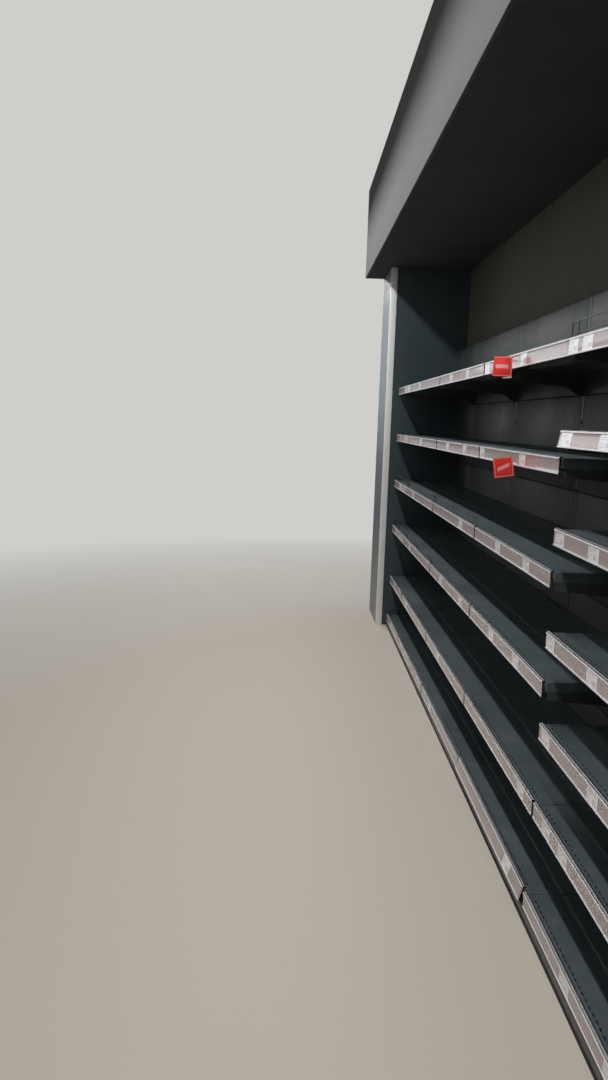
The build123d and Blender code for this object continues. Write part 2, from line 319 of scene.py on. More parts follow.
def remap(tree, value, low, high, toLow=0.0, toHigh=1.0):
    return node(tree, "MapRange", {"Value": value, "From Min": low, "From Max": high,
                                   "To Min": toLow, "To Max": toHigh}).outputs["Result"]


def maths(tree, operation, a, b=0.0):
    return node(tree, "Math", {0: a, 1: b}, operation=operation).outputs[0]


def mixed(tree, factor, first, second):
    return node(tree, "Mix", {0: factor, 6: first, 7: second}, data_type="RGBA").outputs[2]


def toned(tree, pattern, colour, darker, lighter, low=0.3, high=0.7):
    # the colour, darker to lighter as a pattern goes from low to high
    return mixed(tree, remap(tree, pattern, low, high), shade(colour, darker), shade(colour, lighter))


def painted(tree, shader, paint, pattern, smooth, rough, low=0.3, high=0.7):
    # sets the paint, and a roughness that follows a pattern
    tree.links.new(paint, shader.inputs["Base Color"])
    tree.links.new(remap(tree, pattern, low, high, smooth, rough), shader.inputs["Roughness"])


def bumped(tree, shader, height, distance, strength, socket="Normal"):
    bump = node(tree, "Bump", {"Height": height, "Distance": distance, "Strength": strength})
    tree.links.new(bump.outputs["Normal"], shader.inputs[socket])


def band(tree, value, low, high, blur):
    # 1 between low and high, fading to 0 outside
    rise = remap(tree, value, low - blur, low)
    fall = remap(tree, value, high + blur, high)
    return maths(tree, "MULTIPLY", rise, fall)


def wallPaint(name, colour, stipple=0.00025, rough=0.78, scuffTop=0.0, scuffColour=None):
    # rolled emulsion: a fine stipple, slow patches of tone, and rubs near the floor
    material, tree, shader = newMaterial(name, Specular_IOR_Level=0.35)
    points = objectPoints(tree)
    patches = noise(tree, points, 1.7, 5, 0.6)
    lap = noise(tree, objectPoints(tree, (5, 5, 0.6)), 1.4, 3)
    tone = maths(tree, "ADD", maths(tree, "MULTIPLY", patches, 0.65), maths(tree, "MULTIPLY", lap, 0.35))
    paint = toned(tree, tone, colour, 0.86, 1.12, 0.32, 0.68)
    fine = noise(tree, points, 620, 3, 0.6)
    if scuffTop:
        height = node(tree, "SeparateXYZ", {"Vector": objectPoints(tree)}).outputs["Z"]
        low = remap(tree, height, scuffTop, 0.02)
        streaks = noise(tree, objectPoints(tree, (3, 3, 26)), 3.2, 6, 0.7)
        rub = maths(tree, "MULTIPLY", low, remap(tree, streaks, 0.56, 0.68))
        paint = mixed(tree, maths(tree, "MULTIPLY", rub, 0.55), paint, scuffColour)
    painted(tree, shader, paint, fine, rough - 0.06, rough + 0.08)
    bumped(tree, shader, fine, stipple, 0.55)
    return material


def powderCoat(name, colour, rough=0.42, grain=0.00012, wearPlane=None, wearDepth=0.004, rubs=0.35):
    # a fine orange peel, faint rubs along X, and bare steel where a front edge is knocked
    material, tree, shader = newMaterial(name, Specular_IOR_Level=0.5)
    points = objectPoints(tree)
    cloud = noise(tree, points, 2.6, 5, 0.6)
    paint = toned(tree, cloud, colour, 0.88, 1.14)
    peel = noise(tree, points, 1100, 2, 0.5)
    streak = noise(tree, objectPoints(tree, (4, 60, 60)), 9, 5, 0.65)
    rub = remap(tree, streak, 0.56, 0.74)
    paint = mixed(tree, maths(tree, "MULTIPLY", rub, rubs), paint, shade(colour, 1.9))
    dust = remap(tree, noise(tree, points, 14, 6, 0.7), 0.45, 0.8)
    paint = mixed(tree, maths(tree, "MULTIPLY", dust, 0.12), paint, srgb(150, 146, 138))
    if wearPlane is not None:
        depth = node(tree, "SeparateXYZ", {"Vector": points}).outputs["Y"]
        near = band(tree, depth, wearPlane - wearDepth, wearPlane + wearDepth * 0.4, 0.0015)
        chips = remap(tree, noise(tree, objectPoints(tree, (40, 200, 200)), 1.6, 8, 0.75), 0.55, 0.62)
        worn = maths(tree, "MULTIPLY", near, chips)
        paint = mixed(tree, maths(tree, "MULTIPLY", worn, 0.75), paint, srgb(150, 152, 152))
    tree.links.new(paint, shader.inputs["Base Color"])
    coat = remap(tree, cloud, 0.3, 0.7, rough - 0.05, rough + 0.09)
    polished = maths(tree, "SUBTRACT", coat, maths(tree, "MULTIPLY", rub, 0.08))
    tree.links.new(polished, shader.inputs["Roughness"])
    bumped(tree, shader, peel, grain, 0.5)
    return material


def galvanised(name, colour):
    # zinc spangle: cells of a few millimetres, each with its own tone and polish
    material, tree, shader = newMaterial(name, Metallic=1.0)
    points = objectPoints(tree)
    cells = node(tree, "TexVoronoi", {"Vector": points, "Scale": 95.0, "Randomness": 1.0})
    cell = node(tree, "SeparateColor", {"Color": cells.outputs["Color"]}).outputs["Red"]
    bloom = noise(tree, points, 6, 5, 0.6)
    metal = mixed(tree, cell, shade(colour, 0.82), shade(colour, 1.12))
    metal = mixed(tree, remap(tree, bloom, 0.5, 0.75, 0.0, 0.5), metal, srgb(196, 198, 196))
    painted(tree, shader, metal, cell, 0.34, 0.52, 0, 1)
    bumped(tree, shader, bloom, 0.0004, 0.2)
    return material


def coated(tree, shader, roughness=0.07):
    # the shine of a clear, slightly wavy cover over what lies behind it
    shader.inputs["Coat Weight"].default_value = 1.0
    shader.inputs["Coat Roughness"].default_value = roughness
    wave = noise(tree, objectPoints(tree, (4, 20, 22)), 1.0, 1)
    bumped(tree, shader, wave, 0.0015, 0.2, "Coat Normal")


def extrudedPlastic(name, colour, rough=0.3, coat=False):
    # extruded strip: faint die lines along X, a little dust and a slow change of tone
    material, tree, shader = newMaterial(name, Specular_IOR_Level=0.5)
    lines = noise(tree, objectPoints(tree, (0.8, 900, 900)), 1.0, 3, 0.6)
    cloud = noise(tree, objectPoints(tree, (3, 8, 8)), 1.5, 3, 0.5)
    paint = toned(tree, cloud, colour, 0.96, 1.04)
    paint = mixed(tree, remap(tree, lines, 0.5, 0.8, 0.0, 0.06), paint, shade(colour, 0.7))
    specks = remap(tree, noise(tree, objectPoints(tree, (20, 60, 60)), 1.0, 4, 0.6), 0.62, 0.75)
    paint = mixed(tree, maths(tree, "MULTIPLY", specks, 0.04), paint, srgb(120, 112, 104))
    painted(tree, shader, paint, cloud, rough - 0.06, rough + 0.1)
    bumped(tree, shader, lines, 0.0001, 0.4)
    if coat:
        coated(tree, shader)
    return material


def clearFilm(name, colour, alpha, creaseHighlights=0.0, rough=0.08):
    # a clear flap: near invisible, with long pale streaks where it is scratched, and painted highlights
    # along its creases
    material, tree, shader = newMaterial(name, Base_Color=colour, Specular_IOR_Level=0.7)
    crease = noise(tree, objectPoints(tree, (3.4, 30, 36)), 1.0, 1, 0.5)
    ridge = remap(tree, maths(tree, "ABSOLUTE", maths(tree, "SUBTRACT", crease, 0.5)), 0.05, 0.0)
    # painted highlights: the upper rails' near ends catch the light on their creases
    at = node(tree, "SeparateXYZ", {"Vector": objectPoints(tree)})
    lit = maths(tree, "MULTIPLY", remap(tree, at.outputs["Z"], 1.36, 1.46, 0.1, 0.8),
                remap(tree, at.outputs["X"], 0.35, 0.5, 0.12, 1.0))
    patches = noise(tree, objectPoints(tree, (1.3, 3, 3)), 1.0, 1)
    some = maths(tree, "MULTIPLY", remap(tree, patches, 0.5, 0.62), lit)
    streak = noise(tree, objectPoints(tree, (2.2, 30, 60)), 3.0, 4, 0.6)
    cover = maths(tree, "ADD", remap(tree, streak, 0.45, 0.75, alpha, alpha * 1.5),
                  maths(tree, "MULTIPLY", maths(tree, "MULTIPLY", ridge, some), creaseHighlights))
    tree.links.new(cover, shader.inputs["Alpha"])
    tree.links.new(remap(tree, streak, 0.35, 0.7, rough, rough + 0.1), shader.inputs["Roughness"])
    wave = noise(tree, objectPoints(tree, (5, 12, 12)), 1.2, 1)
    bumped(tree, shader, wave, 0.002, 0.25)
    return material


def mouldedPlastic(name, colour, rough=0.5):
    # a fine moulded texture and slow patches of tone
    material, tree, shader = newMaterial(name)
    points = objectPoints(tree)
    texture = noise(tree, points, 1600, 2)
    cloud = noise(tree, points, 40, 4, 0.6)
    painted(tree, shader, toned(tree, cloud, colour, 0.85, 1.25, 0.35), cloud, rough - 0.08, rough + 0.1)
    bumped(tree, shader, texture, 0.0001, 0.5)
    return material


def laminate(name, colour, rough=0.34):
    # a satin board face with a slight grain and hand rubs
    material, tree, shader = newMaterial(name, Specular_IOR_Level=0.5)
    points = objectPoints(tree)
    cloud = noise(tree, points, 1.2, 5, 0.6)
    grain = noise(tree, objectPoints(tree, (140, 140, 9)), 1.6, 4, 0.6)
    paint = toned(tree, cloud, colour, 0.93, 1.06)
    paint = mixed(tree, remap(tree, grain, 0.45, 0.75, 0.0, 0.12), paint, shade(colour, 0.7))
    rubs = noise(tree, objectPoints(tree, (4, 4, 2)), 2.5, 6, 0.7)
    painted(tree, shader, paint, rubs, rough - 0.06, rough + 0.14)
    bumped(tree, shader, grain, 0.00006, 0.5)
    return material


def ticketPaper(name, colour, ink):
    # printed paper: each ticket's own bars, from its UV map, where U counts the tickets
    material, tree, shader = newMaterial(name, Roughness=0.6)
    uv = node(tree, "UVMap", uv_map="ticket").outputs["UV"]
    parts = node(tree, "SeparateXYZ", {"Vector": uv})
    count = maths(tree, "FLOOR", parts.outputs["X"])
    u = maths(tree, "FRACT", parts.outputs["X"])
    v = parts.outputs["Y"]
    printed = None
    for row, (low, high, start, least, most) in enumerate([
            (0.78, 0.86, 0.07, 0.45, 0.8), (0.64, 0.7, 0.07, 0.3, 0.6), (0.1, 0.2, 0.07, 0.15, 0.4),
            (0.16, 0.46, 0.52, 0.7, 0.93)]):
        seed = maths(tree, "ADD", count, 31.7 * row + 0.5)
        chance = node(tree, "TexWhiteNoise", {"W": seed}, noise_dimensions="1D").outputs["Value"]
        end = remap(tree, chance, 0, 1, least, most)
        along = maths(tree, "MULTIPLY", maths(tree, "GREATER_THAN", u, start),
                      maths(tree, "LESS_THAN", u, end))
        bar = maths(tree, "MULTIPLY", band(tree, v, low, high, 0.015), along)
        printed = bar if printed is None else maths(tree, "MAXIMUM", printed, bar)
    lines = node(tree, "TexNoise", {"W": maths(tree, "ADD", maths(tree, "MULTIPLY", u, 60), count),
                                    "Scale": 1.0, "Detail": 1.0}, noise_dimensions="1D").outputs["Fac"]
    code = maths(tree, "MULTIPLY", band(tree, v, 0.28, 0.52, 0.01), band(tree, u, 0.08, 0.42, 0.005))
    code = maths(tree, "MULTIPLY", code, maths(tree, "GREATER_THAN", lines, 0.52))
    printed = maths(tree, "MAXIMUM", printed, code)
    cloud = noise(tree, objectPoints(tree), 30, 4)
    paper = toned(tree, cloud, colour, 0.96, 1.0)
    inked = mixed(tree, maths(tree, "MULTIPLY", printed, 0.4), paper, ink)
    tree.links.new(inked, shader.inputs["Base Color"])
    bumped(tree, shader, noise(tree, objectPoints(tree), 900, 3), 0.00005, 0.4)
    coated(tree, shader)
    return material


def cardPrint(name, colour, line, bar):
    # a plain card with a paler border, a dark line inside that and one blank bar, from its UV map
    material, tree, shader = newMaterial(name, Roughness=0.5, Specular_IOR_Level=0.25)
    uv = node(tree, "UVMap", uv_map="card").outputs["UV"]
    parts = node(tree, "SeparateXYZ", {"Vector": uv})
    u, v = parts.outputs["X"], parts.outputs["Y"]
    fromEdge = maths(tree, "MINIMUM", maths(tree, "MINIMUM", u, maths(tree, "SUBTRACT", 1.0, u)),
                     maths(tree, "MINIMUM", v, maths(tree, "SUBTRACT", 1.0, v)))
    border = band(tree, fromEdge, -0.02, 0.08, 0.012)
    inside = band(tree, fromEdge, 0.1, 0.12, 0.012)
    # the bar slopes on the lower card
    height = node(tree, "SeparateXYZ", {"Vector": objectPoints(tree)}).outputs["Z"]
    slope = remap(tree, height, 1.45, 1.6, 0.33, 0.0)
    rise = maths(tree, "MULTIPLY", maths(tree, "SUBTRACT", u, 0.5), slope)
    middle = maths(tree, "MULTIPLY", band(tree, u, 0.2, 0.8, 0.02),
                   band(tree, maths(tree, "SUBTRACT", v, rise), 0.42, 0.58, 0.02))
    cloud = noise(tree, objectPoints(tree), 22, 4, 0.6)
    red = mixed(tree, maths(tree, "MULTIPLY", border, 0.85), toned(tree, cloud, colour, 0.9, 1.08), line)
    red = mixed(tree, maths(tree, "MULTIPLY", inside, 0.55), red, shade(colour, 0.45))
    tree.links.new(mixed(tree, maths(tree, "MULTIPLY", middle, 0.8), red, bar), shader.inputs["Base Color"])
    bumped(tree, shader, cloud, 0.0006, 0.2)
    return material


finishes = {
    "wall": wallPaint("wallEmulsion", srgb(88, 87, 77)),
    "column": wallPaint("columnEmulsion", srgb(63, 75, 80), scuffTop=0.5,
                        scuffColour=srgb(120, 124, 122)),
    "soffit": wallPaint("soffitEmulsion", srgb(54, 58, 58), stipple=0.0002),
    "fascia": wallPaint("fasciaEmulsion", srgb(74, 77, 77), stipple=0.0002, rough=0.7),
    "panel": laminate("panelFace", srgb(121, 130, 137)),
    "panelEdge": laminate("panelEdge", srgb(246, 246, 244), rough=0.4),
    "zinc": galvanised("zincSheet", srgb(168, 172, 173)),
    "shelf": powderCoat("shelfCoat", srgb(70, 80, 83), wearPlane=shelfFront, wearDepth=0.005),
    "upright": powderCoat("uprightCoat", srgb(60, 67, 68)),
    # the back panels' coat is a graphite grey made darker still, as painted shade of goods in front of them
    "backPanel": powderCoat("backPanelShadeCoat", srgb(46, 51, 52), rough=0.5),
    "kick": powderCoat("kickCoat", srgb(70, 68, 65), rough=0.38, rubs=0.4),
    "fence": powderCoat("fenceCoat", srgb(26, 28, 28), rough=0.4, rubs=0.1),
    # near black for the strip under the kick plates: painted shadow
    "shadowBlack": mouldedPlastic("shadowStripBlack", srgb(16, 16, 16), rough=0.7),
    "railFace": extrudedPlastic("railFace", srgb(174, 154, 149), rough=0.5, coat=True),
    "railLip": extrudedPlastic("railLip", srgb(228, 227, 231), rough=0.24),
    "railRib": extrudedPlastic("railRib", srgb(200, 197, 198), rough=0.28),
    # near black for the sunk faces of the rail tops: painted shade
    "railGrooveShade": extrudedPlastic("railGrooveShade", srgb(34, 33, 34), rough=0.5),
    # the film's pale crease marks on the upper rails are painted highlights
    "film": clearFilm("coverFilm", srgb(215, 214, 220), 0.05, creaseHighlights=0.6),
    "clear": clearFilm("clearArm", srgb(190, 190, 194), 0.3),
    "cap": mouldedPlastic("capPlastic", srgb(46, 48, 48)),
    "glide": mouldedPlastic("glidePlastic", srgb(52, 52, 52)),
    "ticket": ticketPaper("ticketPaper", srgb(252, 250, 251), srgb(128, 124, 132)),
    "card": cardPrint("flagCard", srgb(255, 60, 52), srgb(255, 128, 120), srgb(250, 190, 184)),
    "clip": mouldedPlastic("clipPlastic", srgb(214, 214, 212), rough=0.3),
}
print("materials ready")


def dress(piece, finish, slotName=None, *replaced):
    if finish:
        piece.data.materials.clear()
        piece.data.materials.append(finishes[finish])
    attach(piece, "root")
    if replaced:
        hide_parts(*replaced)
    return piece


def keepNode(name, finish):
    kept = nodes[name]
    if kept.material_slots:
        for slot in kept.material_slots:
            slot.material = finishes[finish]
    else:
        kept.data.materials.append(finishes[finish])


# Building shell, framing and plain steel parts that keep their solids
for name, finish, slotName in [
    ("back_wall", "wall", "wall_paint"),
    ("left_column", "column", "column_paint"),
    ("right_column", "column", "column_paint"),
    ("soffit_board", "soffit", "soffit_paint"),
    ("bulkhead_end_boards", "fascia", "fascia_paint"),
    ("fascia_tracks", "zinc", "zinc"),
    ("fascia_studs", "zinc", "zinc"),
    ("wall_tracks", "zinc", "zinc"),
    ("soffit_joists", "zinc", "zinc"),
    ("top_joists", "zinc", "zinc"),
    ("wall_ties", "upright", "upright_steel"),
    ("base_feet", "upright", "upright_steel"),
]:
    keepNode(name, finish)
for number in range(1, len(bays) + 1):
    keepNode(f"bay_{number}_brackets", "upright")
print("shell and framing dressed")

# Fascia board with softened arrises
fascia = {"arris": 0.001}
low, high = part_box("fascia_board")
board = addBox("fasciaBoard", low, high)
rounded(board, fascia["arris"], 3)
dress(smoothed(board), "fascia", "fascia_paint", "fascia_board")

# Face panels: a board whose upright edges are lipped with a paler strip
facePanel = {"lipping": 0.012, "arris": 0.002}


def modelFacePanel(name, replacedNode):
    low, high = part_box(replacedNode)
    piece = addBox(name, low, high)
    startEdit(piece)
    for x in (low.x + facePanel["lipping"], high.x - facePanel["lipping"]):
        pick(lambda at, way: way.y < -0.5)
        bpy.ops.mesh.bisect(plane_co=(x, 0, 0), plane_no=(1, 0, 0))
    endEdit()
    rounded(piece, facePanel["arris"], 2)
    piece.data.materials.append(finishes["panelEdge"])
    piece.data.materials.append(finishes["panel"])
    for face in piece.data.polygons:
        inner = low.x + facePanel["lipping"] < face.center.x < high.x - facePanel["lipping"]
        face.material_index = 1 if inner and face.normal.y < -0.5 else 0
    dress(smoothed(piece), None, "face_panel", replacedNode)


modelFacePanel("facePanelLeft", "left_column_face_panel")
modelFacePanel("facePanelRight", "right_column_face_panel")
print("bulkhead face and column panels modelled")

# Uprights: folded tube with a slot every 25 mm up its front
upright = {"wall": 0.002, "corner": 0.0025, "slotWidth": 0.014, "slotHeight": 0.016, "pitch": 0.025,
           "firstSlot": 0.121, "slots": 74, "foot": 0.01, "capHeight": 0.008}


def modelUpright():
    half = uprightWidth / 2
    top = uprightHigh.z - upright["capHeight"]
    piece = addBox("upright", (-half, uprightLow.y, upright["foot"]), (half, uprightHigh.y, top))
    side = upright["slotWidth"] / 2
    slotTop = upright["firstSlot"] + upright["slots"] * upright["pitch"]
    startEdit(piece)
    pick(lambda at, way: way.z > 0.5)
    bpy.ops.mesh.delete(type="FACE")
    for x in (-side, side):
        pick(lambda at, way: way.y < -0.5)
        bpy.ops.mesh.bisect(plane_co=(x, 0, 0), plane_no=(1, 0, 0))
    for z in (upright["firstSlot"], slotTop):
        pick(lambda at, way: way.y < -0.5 and abs(at.x) < side)
        bpy.ops.mesh.bisect(plane_co=(0, 0, z), plane_no=(0, 0, 1))
    # the middle strip's two long edges are cut into twice as many cells as slots
    pick(lambda at, way: abs(abs(at.x) - side) < nearby and abs(way.z) > 1, "EDGE")
    bpy.ops.mesh.subdivide(number_cuts=2 * upright["slots"] - 1)
    cell = upright["pitch"] / 2
    longer = upright["slotHeight"] - cell

    def aboveSlot(at, way):
        steps = (at.z - upright["firstSlot"]) / cell
        return (abs(abs(at.x) - side) < nearby and at.z < slotTop - 0.001
                and abs(steps - round(steps)) < 0.01 and round(steps) % 2 == 1)

    pick(aboveSlot, "VERT")
    bpy.ops.transform.translate(value=(0, 0, longer))

    def isSlot(at, way):
        steps = (at.z - upright["firstSlot"] - upright["slotHeight"] / 2) / upright["pitch"]
        return way.y < -0.5 and abs(at.x) < 0.001 and abs(steps - round(steps)) < 0.01 \
            and upright["firstSlot"] < at.z < slotTop

    pick(isSlot)
    bpy.ops.mesh.delete(type="FACE")
    endEdit()
    rounded(piece, upright["corner"], 2)
    walled(piece, upright["wall"])
    return smoothed(piece)


first = modelUpright()
posts = [copied(first, x) for x in axes]
dropped(first)
dress(joined("slottedUprights", posts), "upright", "upright_steel", "uprights")

# Caps on the uprights, with a shallow dish
cap = {"height": upright["capHeight"], "edge": 0.0025 / 3, "rim": 0.004, "dish": 0.0015}
half = uprightWidth / 2
first = addBox("cap", (-half, uprightLow.y, uprightHigh.z - cap["height"]),
               (half, uprightHigh.y, uprightHigh.z))
startEdit(first)
pick(lambda at, way: way.z > 0.5)
bpy.ops.mesh.inset(thickness=cap["rim"], depth=0)
extrudeBy(0, 0, -cap["dish"])
endEdit()
rounded(first, cap["edge"], 2)
caps = [copied(smoothed(first), x) for x in axes]
dropped(first)
dress(joined("uprightCaps", caps), "cap", "cap_plastic", "upright_caps")
print("uprights modelled")

# Back panels: pans with a soft pressed edge
backPanel = {"rows": 5, "depth": 0.014, "edge": 0.004, "sheet": 0.0015, "gap": 0.0005}


def modelBackPanel(width, low, high):
    piece = addBox("panel", (uprightWidth / 2 + backPanel["gap"], uprightLow.y, low),
                   (width - uprightWidth / 2 - backPanel["gap"], uprightLow.y + backPanel["depth"], high))
    startEdit(piece)
    pick(lambda at, way: way.y > 0.5)
    bpy.ops.mesh.delete(type="FACE")
    endEdit()
    rounded(piece, backPanel["edge"], 3)
    walled(piece, backPanel["sheet"])
    return smoothed(piece)


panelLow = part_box("back_panels")[0]
rowHeight = (uprightHigh.z - panelLow.z + backPanel["gap"] / 2) / backPanel["rows"]
panels = []
for width in widths:
    first = modelBackPanel(width, panelLow.z, panelLow.z + rowHeight - backPanel["gap"])
    for axis, bay in zip(axes, bays):
        if bay["width"] == width:
            panels += [copied(first, axis, 0, row * rowHeight) for row in range(backPanel["rows"])]
    dropped(first)
dress(joined("backPanels", panels), "backPanel", "shelf_steel", "back_panels")
print("back panels modelled")

# Shelf trays: folded sheet, with lips turned under, two rows of slots and a rib below
tray = {"fold": 0.03, "lip": 0.012, "mitre": 0.004, "sheet": 0.0015, "bend": 0.0022, "slotWidth": 0.004,
        "slotPitch": 0.025, "slotMargin": 0.05, "frontRow": 0.016, "backRow": 0.03, "ribWidth": 0.06,
        "ribDrop": 0.018}


def modelTray(width, front):
    x0, x1 = endGap, width - endGap
    back = shelfHigh.y
    piece = addBox("tray", (x0, front, -tray["fold"]), (x1, back, 0))
    startEdit(piece)
    pick(lambda at, way: way.z < -0.5)
    bpy.ops.mesh.delete(type="FACE")
    for y, inward in ((front, 1), (back, -1)):
        pick(lambda at, way: abs(at.y - y) < nearby and at.z < -tray["fold"] + nearby, "EDGE")
        extrudeBy(0, inward * tray["lip"], 0)
        bpy.ops.transform.resize(value=(1 - 2 * tray["mitre"] / (x1 - x0), 1, 1),
                                 center_override=((x0 + x1) / 2, y, -tray["fold"]))
    rows = [front + tray["frontRow"], back - tray["backRow"]]
    slots = int((x1 - x0 - tray["slotMargin"]) / tray["slotPitch"])
    room = slots * tray["slotPitch"]
    start = (x0 + x1 - room) / 2
    for row in rows:
        edges = (row - tray["slotWidth"] / 2, row + tray["slotWidth"] / 2)
        for y in edges:
            pick(lambda at, way: way.z > 0.5)
            bpy.ops.mesh.bisect(plane_co=(0, y, 0), plane_no=(0, 1, 0))
        for x in (start, start + room):
            pick(lambda at, way: way.z > 0.5 and abs(at.y - row) < 0.001)
            bpy.ops.mesh.bisect(plane_co=(x, 0, 0), plane_no=(1, 0, 0))
        pick(lambda at, way: at.z > -nearby and min(abs(at.y - y) for y in edges) < nearby
             and abs(way.x) > room / 2 + 0.01, "EDGE")
        bpy.ops.mesh.subdivide(number_cuts=2 * slots - 1)
        pick(lambda at, way: way.z > 0.5 and abs(at.y - row) < 0.001 and start < at.x < start + room
             and int((at.x - start) / (tray["slotPitch"] / 2)) % 2 == 0)
        bpy.ops.mesh.delete(type="FACE")
    endEdit()
    rounded(piece, tray["bend"], 2)
    walled(piece, tray["sheet"])
    ribBack = (front + back + tray["ribWidth"]) / 2
    ribFront = ribBack - tray["ribWidth"]
    ribLine = [(ribBack, -tray["sheet"]), (ribBack, -tray["ribDrop"]),
               (ribFront, -tray["ribDrop"]), (ribFront, -tray["sheet"])]
    rib = foldedSheet("rib", x0 + tray["sheet"], x1 - tray["sheet"], ribLine, tray["sheet"], tray["bend"])
    return joined("tray", [smoothed(piece), rib])


trays = {width: modelTray(width, shelfFront) for width in widths}
baseTrays = {width: modelTray(width, shelfLow.y) for width in widths}
for number, (axis, bay) in enumerate(zip(axes, bays), 1):
    shelves = [copied(baseTrays[bay["width"]], axis, 0, bay["levels"][0] - railRise)]
    shelves += [copied(trays[bay["width"]], axis, 0, level - railRise) for level in bay["levels"][1:]]
    dress(joined(f"shelfTrays{number}", shelves), "shelf", "shelf_steel", f"bay_{number}_shelves")
dropped(*trays.values(), *baseTrays.values())
print("shelf trays modelled")

# Ticket rails: a nose and a toe hold the ticket against the face, the grooved top hooks over the shelf
rail = {"height": 0.05, "wall": 0.0008, "noseHigh": 0.0028, "noseLow": 0.0078, "nose": 0.0022,
        "toe": 0.0048, "face": 0.0018, "top": 0.0032, "groove": 0.0007, "grooveDepth": 0.0008,
        "ribs": (0.0055, 0.0078), "channel": 0.0112, "channelDepth": 0.002, "hook": 0.02, "lap": 0.001,
        "bend": 0.0002, "gap": 0.003, "short": 0.016, "shortNear": 0.004}
cover = {"sheet": 0.0005, "clearance": 0.0008, "belly": 0.0007, "steps": 6, "short": 0.001}
# rails that don't sit square on their shelf: turned toe out in degrees, moved in and up in metres
railMoves = {
    (4, 0.088): {"turn": -15.2, "in": 0.0031, "up": 0.012},
    (5, 0.088): {"up": 0.0055},
    (4, 0.375): {"up": 0.0025},
    (5, 0.375): {"up": 0.0045},
    (5, 1.475): {"turn": -10, "in": -0.002},
    (5, 1.725): {"turn": -3},
}


def railLine():
    depth, low, face, top = shelfFront - railFront, -rail["height"], rail["face"], rail["top"]
    high, behind = -rail["noseHigh"], rail["nose"]
    line = [(face + rail["wall"], low), (0, low), (0, low + rail["toe"]), (face, low + rail["toe"]),
            (face, -rail["noseLow"]), (0, -rail["noseLow"]), (0, high), (behind, high),
            (behind, high - rail["lap"]), (top, high - rail["lap"]), (top, 0)]
    for end in rail["ribs"][:-1]:
        y = end - rail["groove"]
        line += [(y, 0), (y, -rail["grooveDepth"]), (end, -rail["grooveDepth"]), (end, 0)]
    last, channel, deep = rail["ribs"][-1], rail["channel"], -rail["channelDepth"]
    line += [(last, 0), (last, deep), (channel, deep), (channel, 0), (depth, 0), (depth, -rail["hook"])]
    return [(railFront + y, z) for y, z in line]


def modelRail(width, short):
    piece = foldedSheet("rail", rail["gap"], width - short, railLine(), rail["wall"], rail["bend"])
    lip, inner, groove, rib = range(4)
    for finish in ("railLip", "railFace", "railGrooveShade", "railRib"):
        piece.data.materials.append(finishes[finish])
    slack, skin, topZone = 0.0002, 0.0003, 0.005
    for face in piece.data.polygons:
        y, z = face.center.y - railFront, face.center.z
        onNose = z > -rail["noseLow"] - slack
        onToe = z < rail["toe"] - rail["height"] + slack
        sunk = z < -skin or y < rail["top"] - slack or y > rail["ribs"][-1] + nearby
        if y < rail["nose"] - slack and (onNose or onToe):
            face.material_index = lip
        # painted shade: the top's sunk faces, its grooves and all of it behind the ribs, take a near black
        elif z > -topZone and y > rail["nose"] and sunk:
            face.material_index = groove
        else:
            face.material_index = rib if z > -skin else inner
    return piece


def modelCover(width, short):
    # a clear flap that bellies out a little between the nose and the toe
    low, high = rail["toe"] - rail["height"], -rail["noseLow"]
    line = bellied(railFront + cover["clearance"], low, high - low, cover["belly"], cover["steps"])
    return foldedSheet("cover", rail["gap"] + cover["short"], width - short - cover["short"], line,
                       cover["sheet"], 0)


def seated(piece, number, level):
    # shifts a rail, or what it carries, to its own shelf
    front = railLow.y if level == baseLevel else railFront
    if level == baseLevel:
        piece.data.transform(Matrix.Translation((0, -baseReach, 0)))
    move = railMoves.get((number, level))
    if move:
        corner = Matrix.Translation((0, front, level))
        shift = Matrix.Translation((0, move.get("in", 0), move.get("up", 0)))
        turn = Matrix.Rotation(math.radians(move.get("turn", 0)), 4, "X")
        piece.data.transform(shift @ corner @ turn @ corner.inverted())
    return piece


lengths = [(width, rail[short]) for width in widths for short in ("short", "shortNear")]
rails = {length: modelRail(*length) for length in lengths}
covers = {length: modelCover(*length) for length in lengths}
allCovers = []
for number, (axis, bay) in enumerate(zip(axes, bays), 1):
    strips = []
    for level in bay["levels"]:
        # the upper rails of bay 4 end closer to the next bay's
        length = (bay["width"], rail["shortNear" if number == 4 and level > 0.5 else "short"])
        strips.append(seated(copied(rails[length], axis, 0, level), number, level))
        allCovers.append(seated(copied(covers[length], axis, 0, level), number, level))
    dress(joined(f"ticketRails{number}", strips), None, "rail_plastic", f"bay_{number}_ticket_rails")
dress(joined("ticketCovers", allCovers), "film", "cover_plastic", "ticket_covers")
dropped(*rails.values(), *covers.values())
print("ticket rails modelled")

# Kick plates
kick = {"sheet": 0.0015, "bend": 0.0025, "shadowStrip": 0.002, "shadowStripRound": 0.9}
kickLine = [(kickHigh.y, kickLow.z), (kickLow.y, kickLow.z), (kickLow.y, kickHigh.z),
            (kickHigh.y, kickHigh.z)]
plates = []
for axis, bay in zip(axes, bays):
    plates.append(foldedSheet("plate", axis + endGap, axis + bay["width"] - endGap, kickLine,
                              kick["sheet"], kick["bend"], 3))
dress(joined("kickPlates", plates), "kick", "kick_steel", "kick_plates")
# a black strip closes the gap between the kick plates and the floor, as painted shadow of that gap
shadowStrip = addBox("kickShadowStrip", (axes[0] + endGap, kickLow.y - kick["shadowStrip"], 0),
              (axes[-1] - endGap, kickLow.y + kick["shadowStrip"], kickLow.z))
startEdit(shadowStrip)
pick(lambda at, way: at.y < kickLow.y and at.z > kickLow.z / 2, "EDGE")
bpy.ops.mesh.bevel(offset=kick["shadowStrip"] * kick["shadowStripRound"], segments=3)
endEdit()
dress(smoothed(shadowStrip), "shadowBlack")
print("kick plates modelled")

